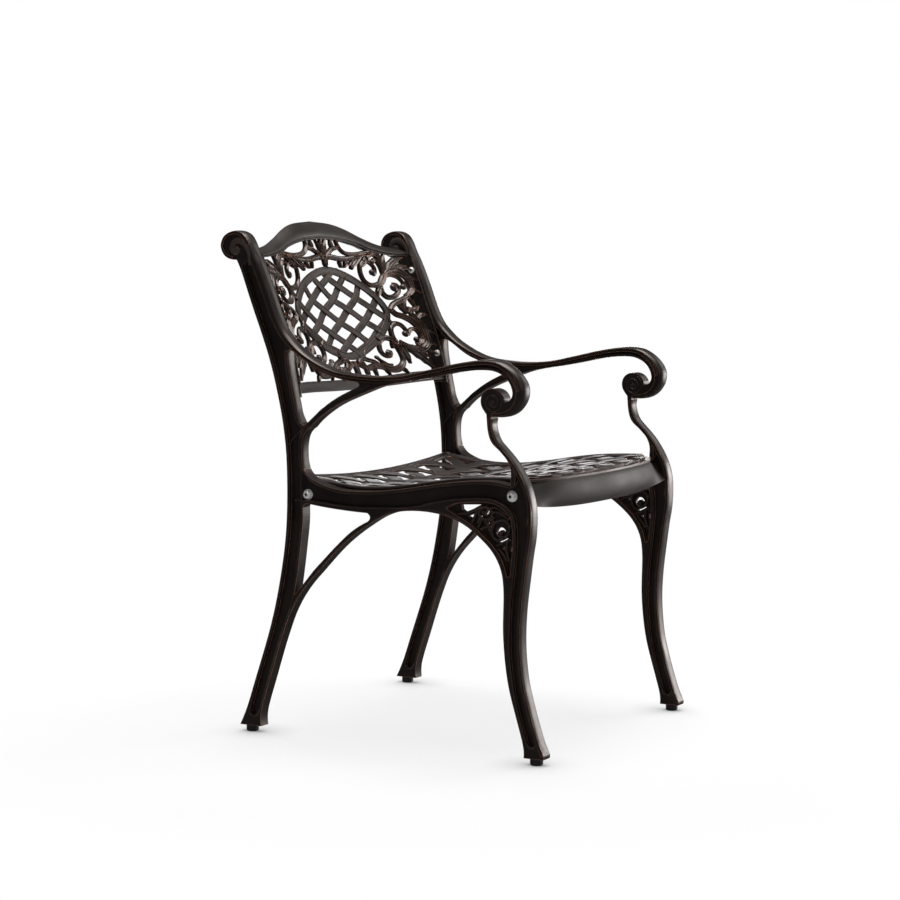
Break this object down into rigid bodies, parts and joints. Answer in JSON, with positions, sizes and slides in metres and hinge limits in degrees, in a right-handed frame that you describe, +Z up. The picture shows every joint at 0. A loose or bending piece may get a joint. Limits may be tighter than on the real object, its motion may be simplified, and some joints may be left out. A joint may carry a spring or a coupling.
{
  "type": "garden armchair",
  "caption": "Cast garden armchair with scrolled side frames, a woven-pattern seat and a pierced back around a woven oval.",
  "frame": {"origin": "on the ground, under the middle of the chair's width and depth", "axes": "+Z up, the chair faces -Y, +X towards the sitter's left"},
  "size_m": [0.543, 0.6109, 0.86],
  "materials": {
    "frame_bronze": "satin bronze-black coat, rubbed to copper on the edges",
    "panel_bronze": "satin bronze-black coat, rubbed lighter on the raised bands",
    "zinc_steel": "bright zinc",
    "black_nylon": "matt"
  },
  "bodies": {
    "root": {"right_side_frame": "frame_bronze", "left_side_frame": "frame_bronze", "seat_panel": "panel_bronze", "back_panel": "panel_bronze", "seat_flat_washers": "zinc_steel", "seat_spring_washers": "zinc_steel", "seat_bolts": "zinc_steel", "back_washers": "zinc_steel", "back_bolts": "zinc_steel", "rear_right_glide": "black_nylon", "rear_left_glide": "black_nylon", "front_right_glide": "black_nylon", "front_left_glide": "black_nylon"}
  },
  "joints": []
}
